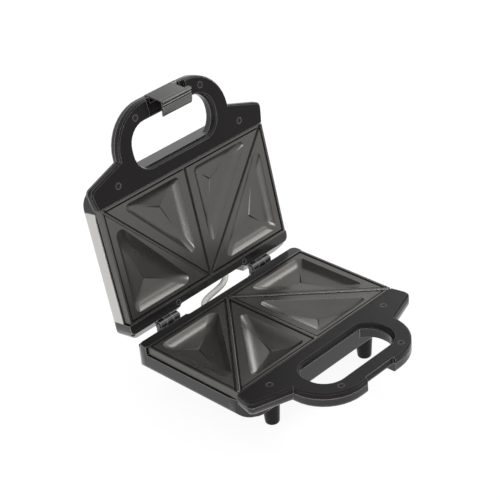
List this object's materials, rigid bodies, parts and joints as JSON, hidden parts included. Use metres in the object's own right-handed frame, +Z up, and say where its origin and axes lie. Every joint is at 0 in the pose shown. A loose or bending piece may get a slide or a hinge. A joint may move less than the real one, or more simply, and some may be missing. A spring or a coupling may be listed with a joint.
{
  "type": "sandwich toaster",
  "caption": "Hinged two-plate sandwich toaster, open: triangular pocketed cooking plates, looped handles, a clip latch, a steel-covered lid and tapered feet.",
  "frame": {"origin": "middle of the bounding box, on the table under the feet, with the lid open", "axes": "+X to the right seen from the handle side, -Y towards the handle, +Y towards the hinge, +Z up"},
  "size_m": [0.2336, 0.2783, 0.2805],
  "materials": {
    "black_plastic": "gloss",
    "handle_plastic": "satin",
    "coated_plate": "non-stick coating, satin",
    "steel_cover": "brushed",
    "heater_steel": "oxidised",
    "reflector_metal": "mill",
    "pin_steel": "dark",
    "screw_steel": "dark",
    "ceramic_body": "matte",
    "sleeve": "woven glass-fibre sleeve",
    "latch_plastic": "satin",
    "pad_rubber": "matte",
    "gland_rubber": "matte",
    "red_lens": "translucent",
    "green_lens": "translucent"
  },
  "bodies": {
    "base": {"base_casing": "black_plastic", "base_handle": "handle_plastic", "base_handle_shell": "black_plastic", "base_plate": "coated_plate", "base_heater": "heater_steel", "base_reflector": "reflector_metal", "base_face_screws": "screw_steel", "base_lead_gland": "gland_rubber", "thermostat": "ceramic_body", "thermal_fuse": "ceramic_body", "terminal_block": "ceramic_body", "cord_inlet": "gland_rubber", "foot_front_left": "black_plastic", "foot_front_right": "black_plastic", "foot_rear_left": "black_plastic", "foot_rear_right": "black_plastic", "foot_pads": "pad_rubber", "hinge_pin_left": "pin_steel", "hinge_pin_right": "pin_steel", "link_lead": "sleeve"},
    "lid": {"lid_casing": "black_plastic", "lid_cover": "steel_cover", "lid_handle": "handle_plastic", "lid_handle_shell": "black_plastic", "lid_plate": "coated_plate", "lid_heater": "heater_steel", "lid_reflector": "reflector_metal", "lid_face_screws": "screw_steel", "lid_rear_screws": "screw_steel", "lid_lead_gland": "gland_rubber", "power_lamp": "red_lens", "ready_lamp": "green_lens", "latch_pin": "pin_steel"},
    "latch": {"latch": "latch_plastic"}
  },
  "joints": [
    {"name": "lid_hinge", "type": "hinge", "parent": "base", "child": "lid", "pos_m": [0, 0.08384, 0.0615], "axis": [1, 0, 0], "range_deg": [0, 100], "deforming": ["link_lead"]},
    {"name": "latch_pivot", "type": "hinge", "parent": "lid", "child": "latch", "pos_m": [0, 0.13052, 0.27727], "axis": [1, 0, 0], "range_deg": [-60, 0]}
  ],
  "couplings": [
    {"joint": "latch_pivot", "follows": "lid_hinge", "ratio": -0.6}
  ]
}
